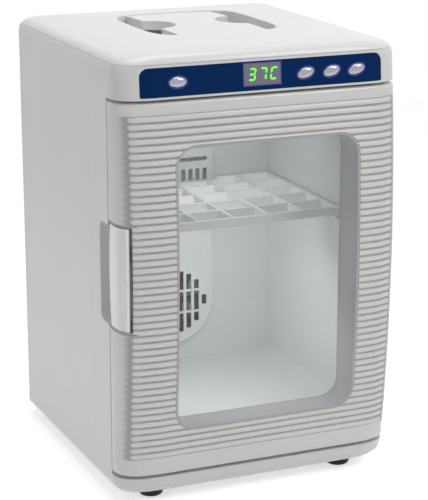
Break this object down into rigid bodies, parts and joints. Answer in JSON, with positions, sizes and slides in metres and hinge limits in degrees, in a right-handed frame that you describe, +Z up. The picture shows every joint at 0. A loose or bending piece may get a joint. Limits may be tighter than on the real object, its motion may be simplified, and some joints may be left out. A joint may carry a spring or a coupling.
{
  "type": "mini incubator",
  "caption": "Bench-top mini incubator: ribbed windowed door with pull handle, control fascia, carry grip in the top, slide-in shelf and fan-heated chamber.",
  "frame": {"origin": "middle of the footprint, at the height of the surface that the feet stand on", "axes": "+Z up, front with the door and controls towards -Y, +X to the right seen from the front"},
  "size_m": [0.31, 0.34, 0.4743],
  "materials": {
    "white_plastic": "satin-gloss moulded",
    "liner_plastic": "smooth moulded",
    "grey_plastic": "smooth moulded",
    "panel_blue": "gloss label",
    "black_rubber": "matte",
    "black_plastic": "matte",
    "chrome": "polished",
    "steel": "plain",
    "aluminium": "extruded",
    "foam": "foamed",
    "clear_pane": "polished",
    "display_lens": "polished",
    "circuit_board": "lacquered",
    "ceramic": "plain"
  },
  "bodies": {
    "cabinet": {"front_frame": "white_plastic", "top_cover": "white_plastic", "left_side_panel": "white_plastic", "right_side_panel": "white_plastic", "base_pan": "white_plastic", "rear_cover": "white_plastic", "carry_tray": "white_plastic", "carry_grip": "white_plastic", "foam_insulation": "foam", "inner_liner": "liner_plastic", "duct_cover": "liner_plastic", "inner_fan_shroud": "black_plastic", "cold_heat_sink": "aluminium", "thermoelectric_module": "ceramic", "hot_heat_sink": "aluminium", "outer_fan_housing": "black_plastic", "power_supply_board": "circuit_board", "power_inlet": "black_plastic", "control_panel": "panel_blue", "display_window": "display_lens", "display_board": "circuit_board", "foot_front_left": "black_rubber", "foot_front_right": "black_rubber", "foot_rear_left": "black_rubber", "foot_rear_right": "black_rubber", "latch_keeper": "steel", "hinge_pin_top": "steel", "hinge_pin_bottom": "steel"},
    "door": {"door_cover": "white_plastic", "door_insulation": "foam", "door_inner_liner": "liner_plastic", "door_gasket": "grey_plastic", "window_frame": "grey_plastic", "window_outer_pane": "clear_pane", "window_inner_pane": "clear_pane", "hinge_bush_top": "ceramic", "hinge_bush_bottom": "ceramic", "handle_bezel": "grey_plastic", "handle_pin": "steel", "handle_spring": "steel"},
    "handle": {"latch_handle": "white_plastic"},
    "shelf_tray": {"shelf": "liner_plastic"},
    "inner_fan": {"inner_fan_rotor": "black_plastic"},
    "outer_fan": {"outer_fan_rotor": "black_plastic"},
    "key_power": {"button_power": "chrome"},
    "key_set": {"button_set": "chrome"},
    "key_up": {"button_up": "chrome"},
    "key_down": {"button_down": "chrome"}
  },
  "joints": [
    {"name": "door_hinge", "type": "hinge", "parent": "cabinet", "child": "door", "pos_m": [0.145, -0.139, 0.2295], "axis": [0, 0, 1], "range_deg": [0, 110]},
    {"name": "handle_pull", "type": "hinge", "parent": "door", "child": "handle", "pos_m": [-0.147, -0.1525, 0.248], "axis": [0, 0, 1], "range_deg": [0, 15], "stiffness_Nm_per_rad": 0.3},
    {"name": "shelf_slide", "type": "slide", "parent": "cabinet", "child": "shelf_tray", "axis": [0, -1, 0], "range_m": [0, 0.03]},
    {"name": "inner_fan_spin", "type": "hinge", "parent": "cabinet", "child": "inner_fan", "pos_m": [0, 0.096, 0.137], "axis": [0, 1, 0], "continuous": true},
    {"name": "outer_fan_spin", "type": "hinge", "parent": "cabinet", "child": "outer_fan", "pos_m": [0, 0.159, 0.137], "axis": [0, 1, 0], "continuous": true},
    {"name": "power_key_press", "type": "slide", "parent": "cabinet", "child": "key_power", "axis": [0, 1, 0], "range_m": [0, 0.0012], "stiffness_N_per_m": 400},
    {"name": "set_key_press", "type": "slide", "parent": "cabinet", "child": "key_set", "axis": [0, 1, 0], "range_m": [0, 0.0012], "stiffness_N_per_m": 400},
    {"name": "up_key_press", "type": "slide", "parent": "cabinet", "child": "key_up", "axis": [0, 1, 0], "range_m": [0, 0.0012], "stiffness_N_per_m": 400},
    {"name": "down_key_press", "type": "slide", "parent": "cabinet", "child": "key_down", "axis": [0, 1, 0], "range_m": [0, 0.0012], "stiffness_N_per_m": 400}
  ]
}
